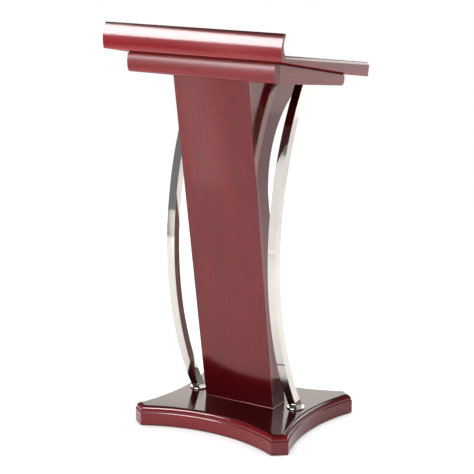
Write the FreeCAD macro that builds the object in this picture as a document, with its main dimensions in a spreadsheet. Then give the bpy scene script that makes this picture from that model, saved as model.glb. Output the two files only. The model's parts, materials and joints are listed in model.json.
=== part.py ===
import FreeCAD, Part
import math
import os
import re

import Sketcher
from FreeCAD import Placement, Rotation, Vector

# A lectern stand: a moulded base with hollow sides, a leaning column, two bent square tubes, and a
# sloping desk on a wedge-shaped apron with a curved crown along the audience side.
# Millimetres. +Z is up, +X is to the right as the audience sees it, and +Y points at the speaker.
# Heights are measured from the floor. Depths are measured from the middle of the base, and every
# sub-part is then moved by centre_shift, so that the origin lies under the middle of the whole stand.

SHEET = "Sizes"

SIZES = {
    # whole stand
    "centre_shift": 29.35,
    "fit_gap": 0.2,
    # base
    "base_height": 56,
    "base_mat_thickness": 3,
    "base_mat_inset": 7,
    "base_panel_thickness": 9,
    "base_rail_thickness": 18,
    "base_rail_top": 40,
    "base_front_corner_x": 215.6,
    "base_front_corner_y": 216.5,
    "base_side_corner_x": 253.3,
    "base_side_corner_y": 187.5,
    "base_front_radius": 459,
    "base_side_radius": 502,
    "base_block_x": 188,
    "base_block_y": 148,
    "base_quirk": 2.5,
    "base_moulding_radius": 13,
    "base_rail_bevel": 1.5,
    "base_core_depth": 130,
    # column
    "column_foot_y": -31.5,
    "column_lean": 8.7,
    "column_half_foot": 112.7,
    "column_half_head": 117.7,
    "column_head_z": 1000,
    "column_taper": 0.3,
    "column_board_thickness": 15,
    "column_back_thickness": 6,
    "column_back_lean": 9.55,
    "flare_radius": 268,
    "flare_centre_y": 198.5,
    "flare_centre_z": 715,
    "column_block_height": 36,
    "column_edge_rounding": 1.5,
    "column_brace_z": 520,
    # apron under the desk
    "apron_half_width": 228,
    "apron_low_y": -220,
    "apron_low_z": 1015.5,
    "apron_slope": 7.8,
    "apron_front_top_y": -228,
    "apron_front_back_y": -203,
    "apron_face_radius": 62,
    "apron_lip_radius": 13,
    "apron_lip_y": -231,
    "apron_lip_z": 1026,
    "apron_rear_y": 152,
    "apron_corner_radius": 17,
    "apron_board_thickness": 15,
    "apron_panel_thickness": 9,
    "apron_rib_width": 34,
    "shadow_gap": 4,
    "shadow_gap_inset": 2,
    # desk
    "desk_low_y": -280,
    "desk_low_z": 1081.5,
    "desk_under_slope": 11,
    "desk_top_y": -258,
    "desk_top_z": 1094.6,
    "desk_slope": 8.3,
    "desk_half_width": 273,
    "desk_rear_top_y": 221.93,
    "desk_rear_lean": 13.6,
    "desk_corner_radius": 11,
    "desk_edge_rounding": 9.5,
    "desk_cheek_thickness": 22,
    "desk_rim_thickness": 20,
    "desk_recess": 3,
    "desk_panel_thickness": 9,
    "desk_floor_thickness": 5,
    "desk_rib_width": 30,
    "desk_rib_front_y": -205,
    # crown
    "crown_half_width": 274,
    "crown_top_y": -262,
    "crown_top_z": 1150,
    "crown_bead_y": -255.5,
    "crown_bead_z": 1143,
    "crown_bead_radius": 6,
    "crown_waist_radius": 36,
    "crown_face_radius": 75,
    "crown_lip_y": -275.5,
    "crown_lip_z": 1084,
    "crown_lip_radius": 9,
    "crown_foot_y": -267,
    # bent tubes
    "tube_x": 164,
    "tube_size": 25,
    "tube_wall": 1.5,
    "tube_radius": 861.8,
    "tube_centre_y": 731.6,
    "tube_centre_z": 509,
    "tube_plate_thickness": 5,
    "tube_gap": 0.3,
    "tube_foot_y": 10.5,
    "flange_radius": 25.5,
    "flange_thickness": 4,
    "flange_rounding": 1.5,
    # bolts, screws and dowels
    "bolt_radius": 4,
    "bolt_head_radius": 6.5,
    "bolt_head_height": 5,
    "bolt_grip": 28,
    "screw_radius": 2,
    "screw_head_radius": 4,
    "screw_head_height": 2.5,
    "screw_length": 30,
    "dowel_radius": 4,
    "dowel_length": 24,
    "dowel_count": 5,
    "column_bolt_x": 65,
    "base_screw_x": 150,
    "base_screw_y": 45,
    "desk_screw_pitch": 110,
    "desk_screw_first_y": -150,
}

doc = FreeCAD.newDocument("LecternStand")
sheet = doc.addObject("Spreadsheet::Sheet", SHEET)
for row, (alias, number) in enumerate(SIZES.items(), start=1):
    sheet.set(f"A{row}", alias.replace("_", " "))
    sheet.set(f"B{row}", str(number))
    sheet.setAlias(f"B{row}", alias)
doc.recompute()

sub_parts = []


# ---- expressions -----------------------------------------------------------------------------


def sized(text):
    """Turn an expression written with cell names into one that reads the sheet."""
    def cell(match):
        word = match.group(0)
        return f"{SHEET}.{word}" if word in SIZES else word
    return re.sub(r"[a-z_]\w*", cell, str(text))


def value(text):
    result = sheet.evalExpression(sized(text))
    return float(getattr(result, "Value", result))


def bind(target, **expressions):
    for name, text in expressions.items():
        target.setExpression(name, sized(text))


def place(target, x="0", y="0", z="0"):
    """Put a sub-part at its place, given from the middle of the base."""
    target.setExpression("Placement.Base.x", sized(x))
    target.setExpression("Placement.Base.y", sized(f"{y} + centre_shift"))
    target.setExpression("Placement.Base.z", sized(z))


def keep(label, target):
    target.Label = label
    sub_parts.append(target)
    return target


# ---- sketches and pads -----------------------------------------------------------------------


def origin_plane(body, role):
    for feature in body.Origin.OriginFeatures:
        if feature.Role == role:
            return feature
    raise ValueError(role)


def new_sketch(body, name, role):
    sketch = body.newObject("Sketcher::SketchObject", name)
    sketch.AttachmentSupport = [(origin_plane(body, role), "")]
    sketch.MapMode = "FlatFace"
    return sketch


def arc_between(start, end, radius, side):
    """The short arc from start to end, with its centre to the left (1) or right (-1) of the way."""
    chord = end - start
    reach = math.sqrt(max(radius ** 2 - (chord.Length / 2) ** 2, 0))
    centre = (start + end) * 0.5 + Vector(-chord.y, chord.x, 0) * (side * reach / chord.Length)
    first, last = (start, end) if side > 0 else (end, start)
    angles = [math.atan2(point.y - centre.y, point.x - centre.x) for point in (first, last)]
    circle = Part.Circle(centre, Vector(0, 0, 1), radius)
    return Part.ArcOfCircle(circle, angles[0], angles[1])


def draw(sketch, corners, arcs=None):
    """Draw a closed outline whose corners, and the radii of its arcs, are bound to the sheet.

    corners holds pairs of expressions. arcs maps the number of an edge to its radius and to the
    side that its centre is on, 1 for left and -1 for right."""
    arcs = arcs or {}
    points = [Vector(value(x), value(y), 0) for x, y in corners]
    ends = []
    for number, start in enumerate(points):
        end = points[(number + 1) % len(points)]
        if number in arcs:
            radius, side = arcs[number]
            edge = sketch.addGeometry(arc_between(start, end, value(radius), side))
            ends.append((edge, 1, 2) if side > 0 else (edge, 2, 1))
            size = sketch.addConstraint(Sketcher.Constraint("Radius", edge, value(radius)))
            sketch.setExpression(f"Constraints[{size}]", sized(radius))
        else:
            edge = sketch.addGeometry(Part.LineSegment(start, end))
            ends.append((edge, 1, 2))
    for number, (edge, begin, finish) in enumerate(ends):
        following, its_begin, _ = ends[(number + 1) % len(ends)]
        sketch.addConstraint(Sketcher.Constraint("Coincident", edge, finish, following, its_begin))
        for kind, text in zip(("DistanceX", "DistanceY"), corners[number]):
            size = sketch.addConstraint(Sketcher.Constraint(kind, edge, begin, value(text)))
            sketch.setExpression(f"Constraints[{size}]", sized(text))


def pad(body, sketch, length, symmetric=True):
    feature = body.newObject("PartDesign::Pad", sketch.Name + "_pad")
    feature.Profile = sketch
    feature.SideType = "Symmetric" if symmetric else "One side"
    bind(feature, Length=length)
    return feature


def pocket(body, sketch, length):
    """Cut a sketch's outline out of the body on both sides of the sketch."""
    doc.recompute()
    before = body.Shape.Volume
    feature = body.newObject("PartDesign::Pocket", sketch.Name + "_pocket")
    feature.Profile = sketch
    feature.SideType = "Symmetric"
    bind(feature, Length=length)
    doc.recompute()
    if not body.Shape.Volume < before:
        raise RuntimeError(f"{feature.Name} cut nothing")
    return feature


def side_board(label, corners, width, x="0", arcs=None):
    """A piece with a constant side view, given as depths and heights, centred on x."""
    body = doc.addObject("PartDesign::Body", label)
    sketch = new_sketch(body, label + "_side", "YZ_Plane")
    draw(sketch, corners, arcs)
    pad(body, sketch, width)
    place(body, x)
    return keep(label, body)


def plan_board(label, corners, thickness, z, arcs=None):
    """A flat piece with its outline in plan."""
    body = doc.addObject("PartDesign::Body", label)
    sketch = new_sketch(body, label + "_plan", "XY_Plane")
    draw(sketch, corners, arcs)
    pad(body, sketch, thickness, symmetric=False)
    place(body, z=z)
    return keep(label, body)


def rectangle(half_width, half_depth, y="0"):
    return [
        (f"-({half_width})", f"{y} - ({half_depth})"),
        (half_width, f"{y} - ({half_depth})"),
        (half_width, f"{y} + ({half_depth})"),
        (f"-({half_width})", f"{y} + ({half_depth})"),
    ]


def taper_cut(body, inset="0"):
    """Trim a column piece to the column's width, which grows towards its head."""
    sketch = new_sketch(body, body.Name + "_taper", "XZ_Plane")
    foot = f"column_half_foot - ({inset})"
    head = f"column_half_head - ({inset})"
    growth = "(column_half_head - column_half_foot) / (column_head_z - base_height)"
    low, high = "0", "1.1 * column_head_z"
    for sign in ("", "-"):
        corners = [
            (f"{sign}({foot} - base_height * {growth})", low),
            (f"{sign}(1.5 * column_half_head)", low),
            (f"{sign}(1.5 * column_half_head)", high),
            (f"{sign}({head} + (0.1 * column_head_z) * {growth})", high),
        ]
        draw(sketch, corners)
    pocket(body, sketch, "column_head_z")


# ---- the sloping planes ----------------------------------------------------------------------


def apron_under(y):
    return f"(apron_low_z - tan(apron_slope) * (({y}) - apron_low_y))"


def desk_under(y):
    return f"(desk_low_z - tan(desk_under_slope) * (({y}) - desk_low_y))"


def desk_top(y):
    return f"(desk_top_z - tan(desk_slope) * (({y}) - desk_top_y))"


def apron_top(y):
    return f"({desk_under(y)} - shadow_gap)"


def column_front(z, behind="0"):
    """Depth of a plane that leans with the column's face, a given thickness behind it."""
    return (f"(column_foot_y + ({behind}) / cos(column_lean)"
            f" - tan(column_lean) * (({z}) - base_height))")


def column_front_head(behind="0"):
    """The point where such a plane meets the underside of the apron."""
    foot = f"(column_foot_y + ({behind}) / cos(column_lean) + tan(column_lean) * base_height)"
    height = (f"((apron_low_z - tan(apron_slope) * ({foot} - apron_low_y))"
              f" / (1 - tan(apron_slope) * tan(column_lean)))")
    return f"({foot} - tan(column_lean) * {height})", height


def column_back(z, inside="0"):
    """Depth of the straight part of the column's back, a given thickness inside it."""
    radius = f"(flare_radius + ({inside}))"
    return (f"(flare_centre_y - {radius} / cos(column_back_lean)"
            f" - tan(column_back_lean) * (({z}) - flare_centre_z))")


def flare_start(inside="0"):
    """The point where the column's straight back runs into the flare."""
    radius = f"(flare_radius + ({inside}))"
    return (f"(flare_centre_y - {radius} * cos(column_back_lean))",
            f"(flare_centre_z - {radius} * sin(column_back_lean))")


def arc_head(centre_y, centre_z, radius):
    """The upper point where an arc, bulging to the front, meets the underside of the apron."""
    rise = f"((({apron_under(centre_y)}) - {centre_z}) * cos(apron_slope))"
    reach = f"sqrt(({radius}) ^ 2 - {rise} ^ 2)"
    return (f"({centre_y} + {rise} * sin(apron_slope) - {reach} * cos(apron_slope))",
            f"({centre_z} + {rise} * cos(apron_slope) + {reach} * sin(apron_slope))")


def flare_head(inside="0"):
    return arc_head("flare_centre_y", "flare_centre_z", f"flare_radius + ({inside})")


# ---- base ------------------------------------------------------------------------------------


def base_outline():
    """The plan of the base: four hollow sides between cut-off corners."""
    outline = doc.addObject("Sketcher::SketchObject", "base_outline")
    front_x, front_y = "base_front_corner_x", "base_front_corner_y"
    side_x, side_y = "base_side_corner_x", "base_side_corner_y"
    corners = [
        (f"-{front_x}", f"-{front_y}"), (front_x, f"-{front_y}"),
        (side_x, f"-{side_y}"), (side_x, side_y),
        (front_x, front_y), (f"-{front_x}", front_y),
        (f"-{side_x}", side_y), (f"-{side_x}", f"-{side_y}"),
    ]
    arcs = {0: ("base_front_radius", -1), 2: ("base_side_radius", -1),
            4: ("base_front_radius", -1), 6: ("base_side_radius", -1)}
    draw(outline, corners, arcs)
    outline.setExpression("Placement.Base.y", sized("centre_shift"))
    return outline


def base_layer(name, outline, bottom, thickness, inset=None):
    """A slab with the base's outline, set in from it all round where an inset is given."""
    source = outline
    if inset:
        source = doc.addObject("Part::Offset2D", name + "_outline")
        source.Source = outline
        source.Join = "Intersection"
        bind(source, Value=f"-({inset})")
    slab = doc.addObject("Part::Extrusion", name)
    slab.Base = source
    slab.DirMode = "Custom"
    slab.Dir = Vector(0, 0, 1)
    slab.Solid = True
    bind(slab, LengthFwd=thickness)
    slab.setExpression("Placement.Base.z", sized(bottom))
    return slab


def cutter(name, width, depth, x, y):
    """A tall box, given by its size and its lowest corner, that picks out one piece of the plinth."""
    box = doc.addObject("Part::Box", name)
    bind(box, Length=width, Width=depth, Height="base_height")
    place(box, x, y)
    return box


def dress_edges(body, edges, kind, size):
    """Put a Fillet or a Chamfer on the named edges of what the body holds so far."""
    base = body.Tip
    feature = body.newObject(f"PartDesign::{kind}", f"{body.Name}_{kind.lower()}")
    feature.Base = (base, edges)
    feature.setExpression("Radius" if kind == "Fillet" else "Size", sized(size))


def edges_where(body, test):
    """The names of the edges whose bounding box passes a test, in what the body holds so far."""
    doc.recompute()
    return [f"Edge{number}" for number, edge in enumerate(body.Tip.Shape.Edges, start=1)
            if test(edge.BoundBox)]


def edged_piece(label, source, top, kind, size, outline=None):
    """A body that takes over a solid and dresses its top edges, or those of them on an outline."""
    doc.recompute()
    body = doc.addObject("PartDesign::Body", label)
    body.BaseFeature = source
    doc.recompute()
    edges = []
    for number, edge in enumerate(body.Shape.Edges, start=1):
        middle = edge.valueAt((edge.FirstParameter + edge.LastParameter) / 2)
        if middle.z < top - 1e-4:
            continue
        shadow = Part.Vertex(middle.x, middle.y, 0)
        if outline is None or outline.Shape.distToShape(shadow)[0] < 1e-3:
            edges.append(f"Edge{number}")
    dress_edges(body, edges, kind, size)
    return keep(label, body)


def plinth_piece(label, stock, box, outline):
    """One rail or corner block: the part of the stock inside a box, with its outer edge bevelled."""
    piece = doc.addObject("Part::Common", label + "_stock")
    piece.Base = stock
    piece.Tool = box
    edged_piece(label, piece, value("base_rail_top"), "Chamfer", "base_rail_bevel", outline)


def make_base():
    outline = base_outline()
    keep("base_mat", base_layer("mat", outline, "0", "base_mat_thickness", "base_mat_inset"))
    rail_height = "base_rail_top - base_mat_thickness"
    plinth = base_layer("plinth", outline, "base_mat_thickness", rail_height)
    hollow = base_layer("plinth_hollow", outline, "0", "base_height", "base_rail_thickness")
    ring = doc.addObject("Part::Cut", "plinth_ring")
    ring.Base = plinth
    ring.Tool = hollow
    far_x = "(base_side_corner_x + base_rail_thickness)"
    far_y = "(base_front_corner_y + base_rail_thickness)"
    block_width = f"{far_x} - base_block_x"
    block_depth = f"{far_y} - base_block_y"
    rail_width = "2 * base_block_x"
    rail_depth = f"{block_depth} + 2 * base_rail_thickness"
    for side, sign in (("front", -1), ("rear", 1)):
        start = f"-{far_y}" if sign < 0 else f"{far_y} - ({rail_depth})"
        box = cutter(f"{side}_rail_box", rail_width, rail_depth, "-base_block_x", start)
        plinth_piece(f"base_{side}_rail", ring, box, outline)
        start = f"-{far_y}" if sign < 0 else "base_block_y"
        for hand, edge in (("left", f"-{far_x}"), ("right", "base_block_x")):
            box = cutter(f"{side}_{hand}_block_box", block_width, block_depth, edge, start)
            plinth_piece(f"base_{side}_{hand}_block", plinth, box, outline)
    for hand, edge in (("left", f"-{far_x}"), ("right", "base_block_x")):
        box = cutter(f"{hand}_rail_box", block_width, "2 * base_block_y", edge, "-base_block_y")
        plinth_piece(f"base_{hand}_rail", ring, box, outline)
    hollow_x = ("(base_side_corner_x - base_side_radius - base_rail_thickness"
                " + sqrt(base_side_radius ^ 2 - base_side_corner_y ^ 2))")
    hollow_y = ("(base_front_corner_y - base_front_radius - base_rail_thickness"
                " + sqrt(base_front_radius ^ 2 - base_front_corner_x ^ 2))")
    plan_board("base_bottom_panel", rectangle(hollow_x, hollow_y), "base_panel_thickness",
               "base_mat_thickness")
    core_height = "base_rail_top - base_mat_thickness - base_panel_thickness"
    plan_board("base_core_block", rectangle(hollow_x, "base_core_depth / 2"), core_height,
               "base_mat_thickness + base_panel_thickness")
    top_thickness = "base_height - base_rail_top"
    top = base_layer("top_slab", outline, "0", top_thickness, "base_quirk")
    body = edged_piece("base_top_board", top, value(top_thickness), "Fillet",
                       "base_moulding_radius")
    body.setExpression("Placement.Base.z", sized("base_rail_top"))


# ---- column ----------------------------------------------------------------------------------


def column_slice(low, high, front_gap, back_gap):
    """The corners of a piece that fills the column's inside between two heights."""
    return [
        (column_front(low, front_gap), low), (column_back(low, back_gap), low),
        (column_back(high, back_gap), high), (column_front(high, front_gap), high),
    ]


def make_column():
    board, back = "column_board_thickness", "column_back_thickness"
    foot = "base_height"
    body = side_board("column_front_board", [
        (column_front(foot), foot), (column_front(foot, board), foot),
        column_front_head(board), column_front_head(),
    ], "3 * column_half_head")
    taper_cut(body)
    long_enough = value("column_head_z") / 2
    face_slope = value("tan(column_lean)")

    def on_face(box):
        face_y = value(column_front("base_height")) - face_slope * (box.ZMax - value(foot))
        return box.ZLength > long_enough and abs(box.YMin - face_y) < 1

    dress_edges(body, edges_where(body, on_face), "Fillet", "column_edge_rounding")
    for hand, sign in (("left", "-"), ("right", "")):
        body = side_board(f"column_{hand}_board", [
            (column_front(foot, board), foot), (column_back(foot), foot),
            flare_start(), flare_head(), column_front_head(board),
        ], board, f"{sign}(column_half_foot - {board} / 2)", {2: ("flare_radius", -1)})
        body.Placement.Rotation = Rotation(Vector(0, 1 if sign == "" else -1, 0), 1)
        body.setExpression("Placement.Rotation.Angle", sized("column_taper"))
        lean_x = "base_height * tan(column_taper)"
        place(body, f"{sign}(column_half_foot - {board} / 2 - {lean_x})")
    inner = f"{board} + fit_gap"
    body = side_board("column_back_board", [
        (column_back(foot, back), foot), (column_back(foot), foot),
        flare_start(), flare_head(), flare_head(back), flare_start(back),
    ], "3 * column_half_head", arcs={2: ("flare_radius", -1), 4: (f"flare_radius + {back}", 1)})
    taper_cut(body, inner)
    block = "column_block_height"
    for name, low, high in (
        ("foot", foot, f"base_height + {block}"),
        ("brace", "column_brace_z", f"column_brace_z + {block} / 2"),
    ):
        body = side_board(f"column_{name}_block", column_slice(low, high, board, back),
                          "3 * column_half_head")
        taper_cut(body, inner)
    near_y, near_z = column_front_head(board)
    far_y, far_z = flare_head(back)
    depth = "(3 * column_block_height)"
    body = side_board("column_head_block", [
        (near_y, near_z),
        (f"{near_y} + tan(column_lean) * {block}", f"{near_z} - {block}"),
        (f"{near_y} + {depth}", f"{near_z} - {block} - tan(apron_slope) * {depth}"),
        (f"{near_y} + {depth}", apron_under(f"{near_y} + {depth}")),
    ], "3 * column_half_head")
    taper_cut(body, inner)


# ---- apron -----------------------------------------------------------------------------------


def make_apron():
    board, panel = "apron_board_thickness", "apron_panel_thickness"
    back = "apron_front_back_y"
    side_board("apron_front_board", [
        (back, apron_under(back)), (back, apron_top(back)),
        ("apron_front_top_y", apron_top("apron_front_top_y")),
        ("apron_lip_y", "apron_lip_z"), ("apron_low_y", apron_under("apron_low_y")),
    ], "2 * apron_half_width", arcs={2: ("apron_face_radius", 1), 3: ("apron_lip_radius", 1)})
    rear, corner = "apron_rear_y", "apron_corner_radius"
    turn_y = f"{rear} - 0.93 * {corner}"
    turn_z = f"{apron_under(rear)} + 0.87 * {corner}"
    for hand, sign in (("left", "-"), ("right", "")):
        side_board(f"apron_{hand}_board", [
            (back, apron_under(back)), (turn_y, apron_under(turn_y)), (rear, turn_z),
            (rear, apron_top(rear)), (back, apron_top(back)),
        ], board, f"{sign}(apron_half_width - {board} / 2)", {1: (corner, 1)})
    inner = f"2 * (apron_half_width - {board})"
    inside = f"{rear} - {board}"
    side_board("apron_rear_rail", [
        (inside, f"{apron_under(inside)} + 0.08 * {corner}"), (turn_y, apron_under(turn_y)),
        (rear, turn_z), (rear, apron_top(rear)), (inside, apron_top(inside)),
    ], inner, arcs={1: (corner, 1)})
    side_board("apron_bottom_panel", [
        (back, apron_under(back)), (turn_y, apron_under(turn_y)),
        (turn_y, f"{apron_under(turn_y)} + {panel}"), (back, f"{apron_under(back)} + {panel}"),
    ], inner)
    for hand, sign in (("left", "-"), ("right", "")):
        side_board(f"apron_{hand}_rib", [
            (back, f"{apron_under(back)} + {panel}"), (turn_y, f"{apron_under(turn_y)} + {panel}"),
            (turn_y, apron_top(turn_y)), (back, apron_top(back)),
        ], "apron_rib_width", f"{sign}tube_x")
    front, far = "apron_front_top_y + shadow_gap_inset", f"{rear} - shadow_gap_inset"
    side_board("desk_spacer", [
        (front, apron_top(front)), (far, apron_top(far)), (far, desk_under(far)),
        (front, desk_under(front)),
    ], "2 * (apron_half_width - shadow_gap_inset)")


# ---- desk and crown --------------------------------------------------------------------------


def desk_rear_end():
    """The foot of the desk's rear face, and the two ends of the rounding at its head."""
    top = "desk_rear_top_y"
    foot = (f"((desk_rear_top_y - tan(desk_rear_lean) * ({desk_top(top)} - desk_low_z"
            f" - tan(desk_under_slope) * desk_low_y))"
            f" / (1 + tan(desk_rear_lean) * tan(desk_under_slope)))")
    reach = "(desk_corner_radius / tan((90 - desk_rear_lean + desk_slope) / 2))"
    return (
        (foot, desk_under(foot)),
        (f"({top} - {reach} * sin(desk_rear_lean))",
         f"({desk_top(top)} - {reach} * cos(desk_rear_lean))"),
        (f"({top} - {reach} * cos(desk_slope))", f"({desk_top(top)} + {reach} * sin(desk_slope))"),
    )


def make_desk():
    front = "desk_top_y"
    rear_foot, rear_head, top_end = desk_rear_end()
    cheek = "desk_cheek_thickness"
    for hand, sign in (("left", "-"), ("right", "")):
        body = side_board(f"desk_{hand}_cheek", [
            (front, desk_under(front)), rear_foot, rear_head, top_end, (front, desk_top(front)),
        ], cheek, f"{sign}(desk_half_width - {cheek} / 2)", {2: ("desk_corner_radius", 1)})
        outer = value(f"{sign}({cheek} / 2)")

        def on_rim(box):
            outside = abs(box.XMin - outer) < 1e-3 and abs(box.XMax - outer) < 1e-3
            behind_crown = box.Center.y > value(front) + 5
            above_foot = box.Center.z > value(desk_under(box.Center.y)) + 5
            return outside and behind_crown and above_foot

        dress_edges(body, edges_where(body, on_rim), "Fillet", "desk_edge_rounding")
    inner = f"2 * (desk_half_width - {cheek})"
    rim_low = f"{rear_foot[0]} - desk_rim_thickness"
    side_board("desk_rear_rim", [
        (rim_low, desk_under(rim_low)), rear_foot, rear_head, top_end, (rim_low, desk_top(rim_low)),
    ], inner, arcs={2: ("desk_corner_radius", 1)})
    recess, panel, floor = "desk_recess", "desk_panel_thickness", "desk_floor_thickness"
    side_board("desk_floor_panel", [
        (front, desk_under(front)), (rim_low, desk_under(rim_low)),
        (rim_low, f"{desk_under(rim_low)} + {floor}"), (front, f"{desk_under(front)} + {floor}"),
    ], inner)
    side_board("desk_reading_panel", [
        (front, f"{desk_top(front)} - {recess} - {panel}"),
        (rim_low, f"{desk_top(rim_low)} - {recess} - {panel}"),
        (rim_low, f"{desk_top(rim_low)} - {recess}"), (front, f"{desk_top(front)} - {recess}"),
    ], inner)
    start = "desk_rib_front_y"
    offset = "(desk_half_width - desk_cheek_thickness - desk_rib_width / 2)"
    for name, x in (("left", f"-{offset}"), ("middle", "0"), ("right", offset)):
        side_board(f"desk_{name}_rib", [
            (start, f"{desk_under(start)} + {floor}"), (rim_low, f"{desk_under(rim_low)} + {floor}"),
            (rim_low, f"{desk_top(rim_low)} - {recess} - {panel}"),
            (start, f"{desk_top(start)} - {recess} - {panel}"),
        ], "desk_rib_width", x)


def make_crown():
    back, foot = "desk_top_y", "crown_foot_y"
    side_board("crown_fascia", [
        (back, desk_under(back)), (back, desk_top(back)), ("crown_bead_y", "crown_bead_z"),
        ("crown_top_y", "crown_top_z"), ("crown_lip_y", "crown_lip_z"), (foot, desk_under(foot)),
    ], "2 * crown_half_width", arcs={
        1: ("crown_waist_radius", -1), 2: ("crown_bead_radius", 1), 3: ("crown_face_radius", 1),
        4: ("crown_lip_radius", 1),
    })


# ---- bent tubes ------------------------------------------------------------------------------


def tube_line(inside, z):
    """Depth of the tube's front face, or of a line inside it, at a height."""
    return (f"(tube_centre_y - sqrt((tube_radius - ({inside})) ^ 2"
            f" - (({z}) - tube_centre_z) ^ 2))")


def tube_outline(front, rear):
    """The side view of a tube, or of its bore, between two depths inside its front face."""
    centre = ("tube_centre_y", "tube_centre_z")
    return [
        (tube_line(front, "base_height"), "base_height"),
        (tube_line(rear, "base_height"), "base_height"),
        arc_head(*centre, f"tube_radius - ({rear})"),
        arc_head(*centre, f"tube_radius - ({front})"),
    ]


def make_tubes():
    wall, size = "tube_wall", "tube_size"
    for hand, sign in (("left", "-"), ("right", "")):
        body = side_board(f"{hand}_tube", tube_outline("0", size), size, f"{sign}tube_x",
                          {1: (f"tube_radius - {size}", -1), 3: ("tube_radius", 1)})
        bore = new_sketch(body, f"{hand}_bore", "YZ_Plane")
        draw(bore, tube_outline(wall, f"{size} - {wall}"),
             {1: (f"tube_radius - {size} + {wall}", -1), 3: (f"tube_radius - {wall}", 1)})
        pocket(body, bore, f"{size} - 2 * {wall}")

        flange = doc.addObject("PartDesign::Body", f"{hand}_tube_flange")
        disc = new_sketch(flange, f"{hand}_flange_section", "XZ_Plane")
        draw(disc, [
            ("0", "0"), ("flange_radius", "0"),
            ("flange_radius", "flange_thickness - flange_rounding"),
            ("flange_radius - flange_rounding", "flange_thickness"), ("0", "flange_thickness"),
        ], {2: ("flange_rounding", 1)})
        turned = flange.newObject("PartDesign::Revolution", f"{hand}_flange_turned")
        turned.Profile = disc
        turned.ReferenceAxis = (disc, ["V_Axis"])
        hole = new_sketch(flange, f"{hand}_flange_hole", "YZ_Plane")
        below, above = "base_height - flange_rounding", "base_height + 2 * flange_thickness"
        corners = [(tube_line(depth, z), z) for depth, z in (
            ("-tube_gap", below), (f"{size} + tube_gap", below),
            (f"{size} + tube_gap", above), ("-tube_gap", above))]
        draw(hole, [(f"{y} - tube_foot_y", f"{z} - base_height") for y, z in corners])
        pocket(flange, hole, f"{size} + 2 * tube_gap")
        place(flange, f"{sign}tube_x", "tube_foot_y", "base_height")
        keep(f"{hand}_tube_flange", flange)

        inner = f"{size} - 2 * {wall}"
        clear = f"({wall} + fit_gap)"
        plate = "tube_plate_thickness"
        low, high = "base_height", f"base_height + {plate}"
        side_board(f"{hand}_tube_foot_plate", [
            (tube_line(clear, low), low), (tube_line(f"{size} - {clear}", low), low),
            (tube_line(f"{size} - {clear}", high), high), (tube_line(clear, high), high),
        ], inner, f"{sign}tube_x")
        front_y, front_z = arc_head("tube_centre_y", "tube_centre_z", f"tube_radius - ({clear})")
        rear_y, rear_z = arc_head("tube_centre_y", "tube_centre_z",
                                  f"tube_radius - ({size} - {clear})")
        drop_y = f"tan(33) * {plate}"
        side_board(f"{hand}_tube_head_plate", [
            (front_y, front_z), (f"{front_y} - {drop_y}", f"{front_z} - {plate}"),
            (f"{rear_y} - {drop_y}", f"{rear_z} - {plate}"), (rear_y, rear_z),
        ], inner, f"{sign}tube_x")


# ---- bolts, screws and dowels ------------------------------------------------------------------


def fastener(kind, length, start, direction):
    """A bolt, screw or dowel from its head's outer face towards its tip."""
    shape = Part.makeCylinder(value(f"{kind}_radius"), length, start, direction)
    if kind != "dowel":
        head = Part.makeCylinder(value(f"{kind}_head_radius"), value(f"{kind}_head_height"),
                                 start, direction)
        shape = shape.fuse(head).removeSplitter()
    return shape


def fastener_group(label, kind, length, starts, direction):
    """Identical fasteners in one sub-part, each a solid of its own."""
    solids = [fastener(kind, length, Vector(*start), direction) for start in starts]
    group = doc.addObject("Part::Feature", label)
    group.Shape = Part.makeCompound(solids)
    group.Placement = Placement(Vector(0, value("centre_shift"), 0), Rotation())
    return keep(label, group)


def bore(label, *groups):
    """Bore a sub-part for the fasteners in it, and keep the bored piece in its stead."""
    piece = next(item for item in sub_parts if item.Label == label)
    position = sub_parts.index(piece)
    piece.Label = label + "_blank"
    for group in groups:
        cut = doc.addObject("Part::Cut", f"{label}_bored_for_{group.Name}")
        cut.Base = piece
        cut.Tool = group
        piece = cut
    piece.Label = label
    sub_parts[position] = piece


def tilted(angle):
    """The way down, square to a plane that falls towards the speaker by this angle."""
    return Vector(0, -math.sin(math.radians(angle)), -math.cos(math.radians(angle)))


def make_base_fasteners():
    up = Vector(0, 0, 1)
    low = value("base_mat_thickness")
    screw_x, screw_y = value("base_screw_x"), value("base_screw_y")
    spots = [(x, y, low) for x in (-screw_x, 0, screw_x) for y in (-screw_y, screw_y)]
    core = fastener_group("base_core_screws", "screw", value("screw_length"), spots, up)
    foot = value("base_height")
    column_y = value(f"({column_front('base_height')} + {column_back('base_height')}) / 2")
    column_x = value("column_bolt_x")
    spots = [(x, column_y, low) for x in (-column_x, 0, column_x)]
    grip = foot - low + value("bolt_grip")
    column = fastener_group("column_foot_bolts", "bolt", grip, spots, up)
    spots = [(side * value("tube_x"), value("tube_foot_y"), low) for side in (-1, 1)]
    tubes = fastener_group("tube_foot_bolts", "bolt", foot - low + value("tube_plate_thickness"),
                           spots, up)
    for label in ("base_bottom_panel", "base_core_block"):
        bore(label, core, column, tubes)
    bore("base_top_board", column, tubes)
    bore("column_foot_block", column)
    bore("left_tube_foot_plate", tubes)
    bore("right_tube_foot_plate", tubes)


def make_column_dowels():
    """Dowels across the joints between the column's face and its sides."""
    count = int(value("dowel_count"))
    foot, head = value("base_height"), value("column_head_z")
    board = value("column_board_thickness")
    lean = math.radians(value("column_lean"))
    along = Vector(0, math.cos(lean), math.sin(lean))
    reach = 0.5 * value("dowel_length")
    starts = []
    for number in range(count):
        share = (number + 0.5) / count
        z = foot + share * (head - foot)
        half = value("column_half_foot") + share * (
            value("column_half_head") - value("column_half_foot"))
        joint = Vector(0, value(column_front(z, board)), z) - along * reach
        for side in (-1, 1):
            starts.append((side * (half - board / 2), joint.y, joint.z))
    dowels = fastener_group("column_dowels", "dowel", value("dowel_length"), starts, along)
    for label in ("column_front_board", "column_left_board", "column_right_board"):
        bore(label, dowels)


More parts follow.
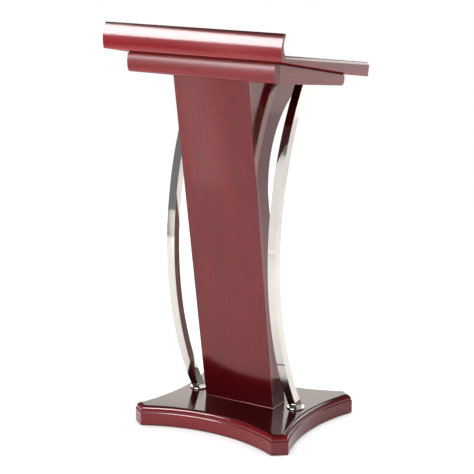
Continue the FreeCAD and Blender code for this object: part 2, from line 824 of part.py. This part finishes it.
def make_desk_fasteners():
    down = tilted(value("apron_slope"))
    panel = value("apron_panel_thickness") / math.cos(math.radians(value("apron_slope")))
    head_y = value(f"{column_front_head('column_board_thickness')[0]} + 1.5 * column_block_height")
    top_z = value(apron_under(head_y)) + panel + value("bolt_head_height")
    column_x = value("column_bolt_x")
    column = fastener_group(
        "column_head_bolts", "bolt", panel + value("bolt_head_height + bolt_grip"),
        [(x, head_y, top_z) for x in (-column_x, 0, column_x)], down)
    middle = "tube_radius - tube_size / 2"
    tube_y, tube_z = (value(text) for text in arc_head("tube_centre_y", "tube_centre_z", middle))
    sunk = value(apron_top(tube_y)) - value("screw_head_height") - tube_z
    start = Vector(0, tube_y, tube_z) - down * sunk
    tubes = fastener_group(
        "tube_head_bolts", "bolt", sunk + value("tube_plate_thickness"),
        [(side * value("tube_x"), start.y, start.z) for side in (-1, 1)], down)
    down = tilted(value("desk_under_slope"))
    starts = []
    for number in range(3):
        y = value(f"desk_screw_first_y + {number} * desk_screw_pitch")
        z = value(f"{desk_under(y)} + desk_floor_thickness")
        starts += [(side * value("tube_x"), y, z) for side in (-1, 1)]
    desk = fastener_group("desk_screws", "screw", value("screw_length"), starts, down)
    bore("apron_bottom_panel", column, tubes)
    bore("column_head_block", column)
    for hand in ("left", "right"):
        bore(f"apron_{hand}_rib", tubes, desk)
        bore(f"{hand}_tube_head_plate", tubes)
    bore("desk_floor_panel", desk)
    bore("desk_spacer", desk)


make_base()
make_column()
make_apron()
make_desk()
make_crown()
make_tubes()
doc.recompute()
make_base_fasteners()
make_column_dowels()
make_desk_fasteners()
doc.recompute()

failed = [item.Name for item in doc.Objects
          if any(word in ("Invalid", "Error") for word in item.State)]
if failed:
    raise RuntimeError("failed objects: " + ", ".join(failed))
for item in sub_parts:
    if item.Shape.isNull() or not item.Shape.isValid() or not item.Shape.Solids:
        raise RuntimeError("bad shape: " + item.Label)

os.makedirs("parts", exist_ok=True)
for item in sub_parts:
    item.Shape.exportStep(os.path.join("parts", item.Label + ".step"))
print(len(sub_parts), "sub-parts written")
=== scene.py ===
import json
import math

import bmesh
import bpy
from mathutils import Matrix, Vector


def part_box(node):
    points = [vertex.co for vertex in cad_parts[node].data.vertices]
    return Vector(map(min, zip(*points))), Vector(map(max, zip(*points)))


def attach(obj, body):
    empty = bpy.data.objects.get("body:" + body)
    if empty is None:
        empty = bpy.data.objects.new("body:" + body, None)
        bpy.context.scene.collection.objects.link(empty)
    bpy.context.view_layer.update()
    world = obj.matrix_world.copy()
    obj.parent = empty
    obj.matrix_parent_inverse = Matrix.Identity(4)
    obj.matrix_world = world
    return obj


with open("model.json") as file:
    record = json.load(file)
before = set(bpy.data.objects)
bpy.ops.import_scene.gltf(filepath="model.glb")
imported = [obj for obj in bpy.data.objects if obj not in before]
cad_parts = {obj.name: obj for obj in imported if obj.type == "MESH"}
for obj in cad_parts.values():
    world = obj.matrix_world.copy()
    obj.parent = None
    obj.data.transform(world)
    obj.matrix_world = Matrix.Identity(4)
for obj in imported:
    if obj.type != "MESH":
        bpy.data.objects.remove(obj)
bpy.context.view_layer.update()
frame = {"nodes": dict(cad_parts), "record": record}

# The looks of the lectern stand: lacquered cherry wood, mirror-polished tubes and a fine bead at the
# column's foot, with a pale floor, soft studio light and the camera. Metres. +X is to the right as the
# audience sees the stand, and +Y points at the speaker.

nodes = frame["nodes"]
scene = bpy.context.scene
scene.view_settings.view_transform = "Standard"


# ---- materials -------------------------------------------------------------------------------------

X, Y, Z = 0, 1, 2
MIX_FACTOR, MIX_FIRST, MIX_SECOND, MIX_RESULT = 0, 6, 7, 2  # a Mix node's sockets for colours


class Shader:
    """A material under construction: its node tree, its shader, and short ways to add nodes."""

    def __init__(self, name, **sockets):
        self.material = bpy.data.materials.new(name)
        self.material.use_nodes = True
        self.tree = self.material.node_tree
        self.surface = self.tree.nodes["Principled BSDF"]
        for socket, value in sockets.items():
            self.surface.inputs[socket.replace("_", " ")].default_value = value

    def add(self, kind, inputs=None, **settings):
        node = self.tree.nodes.new(kind)
        for name, value in settings.items():
            setattr(node, name, value)
        for socket, value in (inputs or {}).items():
            if isinstance(value, bpy.types.NodeSocket):
                self.tree.links.new(value, node.inputs[socket])
            else:
                node.inputs[socket].default_value = value
        return node

    def connect(self, output, socket):
        self.tree.links.new(output, self.surface.inputs[socket])

    def place(self, scale, shift=(0, 0, 0)):
        """Coordinates in the row frame, in metres, stretched by a scale along each axis."""
        where = self.add("ShaderNodeTexCoord")
        return self.add("ShaderNodeMapping", {
            "Vector": where.outputs["Object"], "Scale": scale, "Location": shift,
        }).outputs["Vector"]

    def noise(self, vector, scale, detail=2, roughness=0.5, distortion=0):
        return self.add("ShaderNodeTexNoise", {
            "Vector": vector, "Scale": scale, "Detail": detail, "Roughness": roughness,
            "Distortion": distortion,
        }).outputs["Fac"]

    def ramp(self, factor, *stops):
        node = self.add("ShaderNodeValToRGB", {"Fac": factor})
        elements = node.color_ramp.elements
        while len(elements) < len(stops):
            elements.new(0.5)
        for element, (position, colour) in zip(elements, stops):
            element.position = position
            element.color = (*colour, 1)
        return node.outputs["Color"]

    def spread(self, factor, low, high, start=0.0, end=1.0):
        """A number that goes from low to high as the factor goes from start to end."""
        return self.add("ShaderNodeMapRange", {
            "Value": factor, "From Min": start, "From Max": end, "To Min": low, "To Max": high,
        }).outputs["Result"]

    def multiply(self, colour, shade):
        node = self.add("ShaderNodeMix", {MIX_FACTOR: 1.0, MIX_FIRST: colour, MIX_SECOND: shade},
                        data_type="RGBA", blend_type="MULTIPLY")
        return node.outputs[MIX_RESULT]

    def relief(self, height, strength, distance, socket="Normal"):
        node = self.add("ShaderNodeBump", {
            "Height": height, "Strength": strength, "Distance": distance,
        })
        self.connect(node.outputs["Normal"], socket)


def along(axis, across, lengthwise):
    """Texture scale of a grain that runs along one axis."""
    return tuple(lengthwise if axis == number else across for number in (X, Y, Z))


# Places on the fibre noise, and the stain's red, green and blue there as shares of its mean red.
STAIN = ((0.34, (0.76, 0.008, 0.024)), (0.50, (1.0, 0.014, 0.036)), (0.66, (1.26, 0.026, 0.056)))


def cherry_lacquer(name, axis, shift, body, gleam=0.0, haze=0.13, gloss=1.0, top=1.0, level=0.95):
    """Dark red stained wood with fine straight grain along one axis, under a thick gloss lacquer.

    shift moves the pattern, so that no two looks share their grain. body is how much red light the
    wood scatters, and gleam how much its fibres mirror in their own colour. The white gloss comes
    from the coat, of weight gloss and roughness haze, and undersides are left matt. The top-face
    factor is painted shade: it scales the colour down where the surface faces up, from a normal of
    height level - 0.15 to level."""
    red = body + gleam
    shader = Shader(name, Metallic=gleam / red, Roughness=0.18, Specular_IOR_Level=0.0,
                    Coat_Weight=1.0, Coat_Roughness=haze, Coat_IOR=1.5)
    fibre = shader.noise(shader.place(along(axis, 1, 0.012), shift), scale=300, detail=4, roughness=0.6)
    figure = shader.noise(shader.place(along(axis, 1, 0.05), shift), scale=26, detail=3,
                          roughness=0.55, distortion=0.4)
    pores = shader.noise(shader.place(along(axis, 1, 0.03), shift), scale=1100, detail=1)
    stain = shader.ramp(fibre, *((spot, tuple(red * share for share in shares))
                                 for spot, shares in STAIN))
    tone = shader.ramp(figure, (0.3, (0.88, 0.85, 0.85)), (0.7, (1.10, 1.10, 1.10)))
    colour = shader.multiply(stain, tone)
    colour = shader.multiply(colour, shader.spread(pores, 1.0, 0.55, start=0.62, end=0.74))
    facing = shader.add("ShaderNodeNewGeometry").outputs["Normal"]
    upward = shader.add("ShaderNodeSeparateXYZ", {"Vector": facing}).outputs["Z"]
    # Painted shade: the colour is darkened where the surface faces up.
    if top < 1.0:
        colour = shader.multiply(colour, shader.spread(upward, 1.0, top, start=level - 0.15, end=level))
    shader.connect(colour, "Base Color")
    shader.relief(fibre, strength=0.06, distance=0.0002)
    ripple = shader.noise(shader.place((1, 1, 1), shift), scale=45, detail=1)
    shader.relief(ripple, strength=0.04, distance=0.0006, socket="Coat Normal")
    shader.connect(shader.spread(upward, 0.08 * gloss, gloss, start=-0.95, end=-0.80), "Coat Weight")
    return shader.material


def polished_steel(name):
    """Mirror-polished stainless steel with a faint haze and wipe marks."""
    shader = Shader(name, Metallic=1.0, Roughness=0.07)
    haze = shader.noise(shader.place((1, 1, 0.3)), scale=30, detail=3, roughness=0.6)
    wipes = shader.noise(shader.place((1, 1, 0.03)), scale=1200)
    shader.connect(shader.spread(haze, 0.035, 0.10, start=0.3, end=0.7), "Roughness")
    shader.connect(shader.ramp(haze, (0.2, (0.575, 0.55, 0.51)), (0.8, (0.66, 0.635, 0.59))),
                   "Base Color")
    shader.relief(wipes, strength=0.02, distance=0.0001)
    return shader.material


def fixing_steel(name):
    """Zinc-plated screws, bolts and welded plates."""
    shader = Shader(name, Metallic=1.0, Roughness=0.35)
    mottle = shader.noise(shader.place((1, 1, 1)), scale=160, detail=4, roughness=0.6)
    shader.connect(shader.ramp(mottle, (0.3, (0.42, 0.43, 0.44)), (0.7, (0.62, 0.63, 0.62))),
                   "Base Color")
    shader.connect(shader.spread(mottle, 0.28, 0.45), "Roughness")
    shader.relief(mottle, strength=0.1, distance=0.0002)
    return shader.material


def bare_board(name, dark, light):
    """Raw fibreboard: short pale and dark fibres pressed flat."""
    shader = Shader(name, Roughness=0.85)
    fibres = shader.noise(shader.place((1, 1, 3)), scale=420, detail=5, roughness=0.7)
    clouds = shader.noise(shader.place((1, 1, 1)), scale=25)
    colour = shader.ramp(fibres, (0.3, dark), (0.7, light))
    shade = shader.ramp(clouds, (0.3, (0.86, 0.86, 0.86)), (0.7, (1.0, 1.0, 1.0)))
    shader.connect(shader.multiply(colour, shade), "Base Color")
    shader.relief(fibres, strength=0.25, distance=0.0003)
    return shader.material


def beech(name):
    """Beech dowels with short dark flecks along the grain."""
    shader = Shader(name, Roughness=0.6)
    grain = shader.noise(shader.place(along(Y, 1, 0.05)), scale=900, detail=3, roughness=0.6)
    flecks = shader.noise(shader.place(along(Y, 1, 0.2)), scale=1500, detail=1)
    colour = shader.ramp(grain, (0.3, (0.38, 0.22, 0.11)), (0.7, (0.58, 0.38, 0.21)))
    dark = shader.spread(flecks, 1.0, 0.6, start=0.62, end=0.70)
    shader.connect(shader.multiply(colour, dark), "Base Color")
    shader.relief(grain, strength=0.2, distance=0.0002)
    return shader.material


def gap_stain_and_shade(name):
    """The recessed spacer under the desk: wood stained a very dark red, with a dull sheen, its darkness
    partly painted shade in the gap under the desk.
    """
    shader = Shader(name, Roughness=0.6, Specular_IOR_Level=0.15)
    grain = shader.noise(shader.place(along(X, 1, 0.03)), scale=500, detail=3, roughness=0.6)
    shader.connect(shader.ramp(grain, (0.3, (0.045, 0.004, 0.004)), (0.7, (0.085, 0.008, 0.008))),
                   "Base Color")
    shader.relief(grain, strength=0.2, distance=0.0002)
    return shader.material


def mat_rubber(name):
    """Black non-slip sheet with a fine pebble."""
    shader = Shader(name, Roughness=0.75)
    pebble = shader.add("ShaderNodeTexVoronoi", {
        "Vector": shader.place((1, 1, 1)), "Scale": 700,
    }).outputs["Distance"]
    dust = shader.noise(shader.place((1, 1, 1)), scale=60, detail=4, roughness=0.6)
    shader.connect(shader.ramp(dust, (0.3, (0.012, 0.012, 0.012)), (0.7, (0.035, 0.034, 0.033))),
                   "Base Color")
    shader.relief(pebble, strength=0.6, distance=0.0004)
    return shader.material


def finish_node(name, material):
    mesh = nodes[name].data
    mesh.materials.clear()
    mesh.materials.append(material)


# Copies of the one cherry lacquer. Besides grain direction, shift and haze, their body and gleam differ from
# copy to copy as painted light and shade: darker copies where the parts stand in shade, such as the column
# under the desk and the apron's bottom panel, and brighter ones where the light falls.
lacquers = {
    "upright": cherry_lacquer("cherry_upright", Z, (0, 0, 0), body=0.054, gleam=0.076),
    "upright_side": cherry_lacquer("cherry_upright_side", Z, (3, 1, 2), body=0.080, gleam=0.030, haze=0.07),
    # The crown's upward faces get painted shade, down to 0.15 of their colour.
    "crown": cherry_lacquer("cherry_crown", X, (0, 5, 0), body=0.220, haze=0.19, top=0.15, level=0.60),
    "apron": cherry_lacquer("cherry_apron", X, (1, 2, 6), body=0.155, haze=0.35),
    "crosswise": cherry_lacquer("cherry_crosswise", X, (5, 3, 1), body=0.150),
    "reading": cherry_lacquer("cherry_reading", X, (7, 6, 2), body=0.170, haze=0.42, gloss=0.45),
    # A near-black copy: painted shade for the apron's bottom panel, which lies under the apron.
    "underside": cherry_lacquer("cherry_underside", X, (9, 4, 4), body=0.020),
    # The base top's upward face gets painted shade, down to 0.28 of its colour.
    "base_top": cherry_lacquer("cherry_base_top", X, (6, 8, 3), body=0.160, haze=0.12, top=0.28, level=0.97),
    "crosswise_low": cherry_lacquer("cherry_crosswise_low", X, (2, 7, 4), body=0.168, haze=0.18),
    "lengthwise": cherry_lacquer("cherry_lengthwise", Y, (4, 0, 9), body=0.225),
    "lengthwise_low": cherry_lacquer("cherry_lengthwise_low", Y, (8, 5, 5), body=0.150, haze=0.18),
}
lacquered_nodes = {
    "upright": ["column_front_board", "column_back_board"],
    "upright_side": ["column_left_board", "column_right_board"],
    "crown": ["crown_fascia"],
    "apron": ["apron_front_board"],
    "crosswise": ["apron_rear_rail", "desk_rear_rim", "desk_floor_panel"],
    "reading": ["desk_reading_panel"],
    "underside": ["apron_bottom_panel"],
    "base_top": ["base_top_board"],
    "crosswise_low": ["base_front_rail", "base_rear_rail"],
    "lengthwise": ["apron_left_board", "apron_right_board", "desk_left_cheek", "desk_right_cheek"],
    "lengthwise_low": ["base_left_rail", "base_right_rail", "base_front_left_block",
                       "base_front_right_block", "base_rear_left_block", "base_rear_right_block"],
}
look_of_slot = {
    "polished_steel": polished_steel("polished_steel"),
    "fixing_steel": fixing_steel("zinc_plated_steel"),
    "core_board": bare_board("raw_fibreboard", dark=(0.20, 0.12, 0.065), light=(0.36, 0.25, 0.15)),
    "dowel_beech": beech("beech_dowel"),
    "spacer_black": gap_stain_and_shade("gap_stain_and_shade"),
    "mat_rubber": mat_rubber("non_slip_rubber"),
}
for part in frame["record"]["subparts"]:
    if part["material_slot"] in look_of_slot:
        finish_node(part["node"], look_of_slot[part["material_slot"]])
for look, members in lacquered_nodes.items():
    for name in members:
        finish_node(name, lacquers[look])


# ---- the column's foot -----------------------------------------------------------------------------


def make_foot_bead():
    """The thin bead of lacquer in the corner where the column stands on the base.

    It runs round the column's foot. Its section is a quarter-round hollow, sunk a little into both."""
    radius, sunk, steps = 0.0011, 0.0004, 5
    top_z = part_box("base_top_board")[1][Z]
    near = 0.0005
    foot = [
        vertex.co for name in ("column_front_board", "column_left_board", "column_right_board")
        for vertex in nodes[name].data.vertices if vertex.co.z < top_z + near
    ]
    left, right = min(co.x for co in foot), max(co.x for co in foot)
    front, rear = min(co.y for co in foot), max(co.y for co in foot)
    corners = [(left, front, -1, -1), (right, front, 1, -1), (right, rear, 1, 1), (left, rear, -1, 1)]
    section = [(-sunk, -sunk), (-sunk, radius)]
    for step in range(steps + 1):
        turn = 0.5 * math.pi * step / steps
        section.append((radius - radius * math.cos(turn), radius - radius * math.sin(turn)))
    section.append((radius, -sunk))
    mesh = bmesh.new()
    rings = [
        [mesh.verts.new((x + out_x * out, y + out_y * out, top_z + rise)) for out, rise in section]
        for x, y, out_x, out_y in corners
    ]
    for number, ring in enumerate(rings):
        following = rings[(number + 1) % len(rings)]
        for spot in range(len(section)):
            after = (spot + 1) % len(section)
            mesh.faces.new((ring[spot], following[spot], following[after], ring[after]))
    bmesh.ops.recalc_face_normals(mesh, faces=mesh.faces)
    data = bpy.data.meshes.new("column_foot_bead")
    mesh.to_mesh(data)
    mesh.free()
    data.materials.append(lacquers["upright"])
    bead = bpy.data.objects.new("column_foot_bead", data)
    scene.collection.objects.link(bead)
    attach(bead, "root")


make_foot_bead()


# ---- floor, light and camera -----------------------------------------------------------------------

NEUTRAL = (1.0, 1.0, 1.0)
WARM = (1.0, 0.93, 0.86)


def make_floor():
    left, right, front, rear = -2.2, 2.2, -2.6, 2.8
    mesh = bpy.data.meshes.new("floor")
    corners = [(left, front, 0), (right, front, 0), (right, rear, 0), (left, rear, 0)]
    mesh.from_pydata(corners, [], [(0, 1, 2, 3)])
    floor = bpy.data.objects.new("floor", mesh)
    scene.collection.objects.link(floor)
    shader = Shader("pale_floor", Roughness=0.9)
    clouds = shader.noise(shader.place((1, 1, 1)), scale=3)
    shader.connect(shader.ramp(clouds, (0.3, (0.80, 0.80, 0.80)), (0.7, (0.84, 0.84, 0.84))),
                   "Base Color")
    mesh.materials.append(shader.material)
    return floor


def area_light(name, place, target, size, radiance, glossy=True, diffuse=True, tint=NEUTRAL):
    """A rectangular light that faces the target, hidden from the camera."""
    light = bpy.data.lights.new(name, "AREA")
    light.shape = "RECTANGLE"
    light.color = tint
    light.size, light.size_y = size
    light.energy = radiance * math.pi * light.size * light.size_y
    lamp = bpy.data.objects.new(name, light)
    lamp.location = place
    lamp.rotation_euler = (Vector(target) - Vector(place)).to_track_quat("-Z", "Y").to_euler()
    lamp.visible_camera = False
    lamp.visible_glossy = glossy
    lamp.visible_diffuse = diffuse
    scene.collection.objects.link(lamp)
    return lamp


def link_light(name, objects, state, *lamps):
    """With state INCLUDE the lamps light only the objects, and with EXCLUDE all but the objects."""
    group = bpy.data.collections.new(name)
    for item in objects:
        group.objects.link(item)
    for member in group.collection_objects:
        member.light_linking.link_state = state
    for lamp in lamps:
        lamp.light_linking.receiver_collection = group


def make_lights(floor):
    """Softboxes and strips for the gloss, a key in front, backdrops behind, and an overhead for the floor."""
    front_softbox = area_light("front_softbox", place=(-0.455, -1.225, 1.685), target=(0.0, -0.25, 0.95),
                               size=(1.5, 0.70), radiance=22.5, diffuse=False)
    front_key = area_light("front_key", place=(-0.50, -1.60, 1.05), target=(0.0, -0.25, 0.80),
                           size=(1.5, 0.70), radiance=8.2, glossy=False)
    area_light("right_strip", place=(-0.50, -1.24, 0.84), target=(0.10, -0.15, 0.84),
               size=(0.14, 1.106), radiance=0.95, diffuse=False)
    area_light("left_strip", place=(-0.86, -1.24, 0.30), target=(-0.17, -0.15, 0.30),
               size=(0.10, 0.6), radiance=0.95, diffuse=False)
    backdrop_left = area_light("backdrop_left", place=(-1.6, 2.3, 0.63), target=(-1.6, 0.0, 0.63),
                               size=(2.6, 1.25), radiance=2.4, tint=WARM)
    backdrop_right = area_light("backdrop_right", place=(1.6, 2.3, 0.85), target=(1.6, 0.0, 0.85),
                                size=(2.6, 0.8), radiance=0.6, tint=WARM)
    area_light("rear_softbox", place=(0.78, 2.20, 1.48), target=(0.27, 0.0, 1.10),
               size=(1.35, 0.95), radiance=4.2, diffuse=False)
    overhead = area_light("overhead", place=(0, 0.5, 4.0), target=(0, 0.5, 0),
                          size=(8, 8), radiance=3.0, glossy=False)
    # The overhead alone keeps the floor evenly pale. The softbox, mirrored in a tube, would turn a
    # stretch of it as white as the ground behind.
    link_light("floor_only", [floor], "INCLUDE", overhead)
    link_light("not_floor", [floor], "EXCLUDE", front_key, backdrop_left, backdrop_right)
    link_light("not_tubes", [nodes["left_tube"], nodes["right_tube"]], "EXCLUDE", front_softbox)


def make_world():
    """A studio that is bright behind the stand and dim in front, and plain white to the camera."""
    world = bpy.data.worlds.new("studio")
    scene.world = world
    world.use_nodes = True
    tree = world.node_tree
    background = tree.nodes["Background"]
    where = tree.nodes.new("ShaderNodeTexCoord")
    split = tree.nodes.new("ShaderNodeSeparateXYZ")
    tree.links.new(where.outputs["Generated"], split.inputs["Vector"])

    def spread(axis, start, end):
        """A number that goes from 0 to 1 as the direction's part along an axis goes from start to end."""
        node = tree.nodes.new("ShaderNodeMapRange")
        node.inputs["From Min"].default_value = start
        node.inputs["From Max"].default_value = end
        tree.links.new(split.outputs[axis], node.inputs["Value"])
        return node.outputs["Result"]

    def mix(factor, first, second):
        node = tree.nodes.new("ShaderNodeMix")
        node.data_type = "RGBA"
        for socket, colour in ((MIX_FIRST, first), (MIX_SECOND, second)):
            if isinstance(colour, bpy.types.NodeSocket):
                tree.links.new(colour, node.inputs[socket])
            else:
                node.inputs[socket].default_value = (*colour, 1)
        tree.links.new(factor, node.inputs[MIX_FACTOR])
        return node.outputs[MIX_RESULT]

    def by_height(*stops):
        """Brightness against the sine of the elevation."""
        low, high = -1.0, 1.0
        node = tree.nodes.new("ShaderNodeValToRGB")
        tree.links.new(spread("Z", low, high), node.inputs["Fac"])
        elements = node.color_ramp.elements
        while len(elements) < len(stops):
            elements.new(0.5)
        for element, (height, level) in zip(elements, stops):
            element.position = (height - low) / (high - low)
            element.color = (level, level, level, 1)
        return node.outputs["Color"]

    behind = by_height((-0.04, 1.1), (0.02, 0.20), (0.55, 0.20), (0.75, 0.12))
    before = by_height((-0.06, 0.30), (0.40, 0.25), (0.75, 0.12))
    room = mix(spread("Y", -0.35, 0.35), before, behind)
    rays = tree.nodes.new("ShaderNodeLightPath")
    seen = mix(rays.outputs["Is Camera Ray"], room, NEUTRAL)
    tree.links.new(seen, background.inputs["Color"])


def make_camera():
    """A long lens a little above the desk, to the audience's right."""
    tilt, turn = 75.704, 31.53
    camera = bpy.data.cameras.new("camera")
    camera.sensor_width = 36
    camera.lens = 112.06
    camera.clip_end = 100
    eye = bpy.data.objects.new("camera", camera)
    eye.location = (2.08796, -3.41540, 1.56383)
    eye.rotation_euler = (math.radians(tilt), 0, math.radians(turn))
    scene.collection.objects.link(eye)
    scene.camera = eye


stage_floor = make_floor()
make_world()
make_lights(stage_floor)
make_camera()
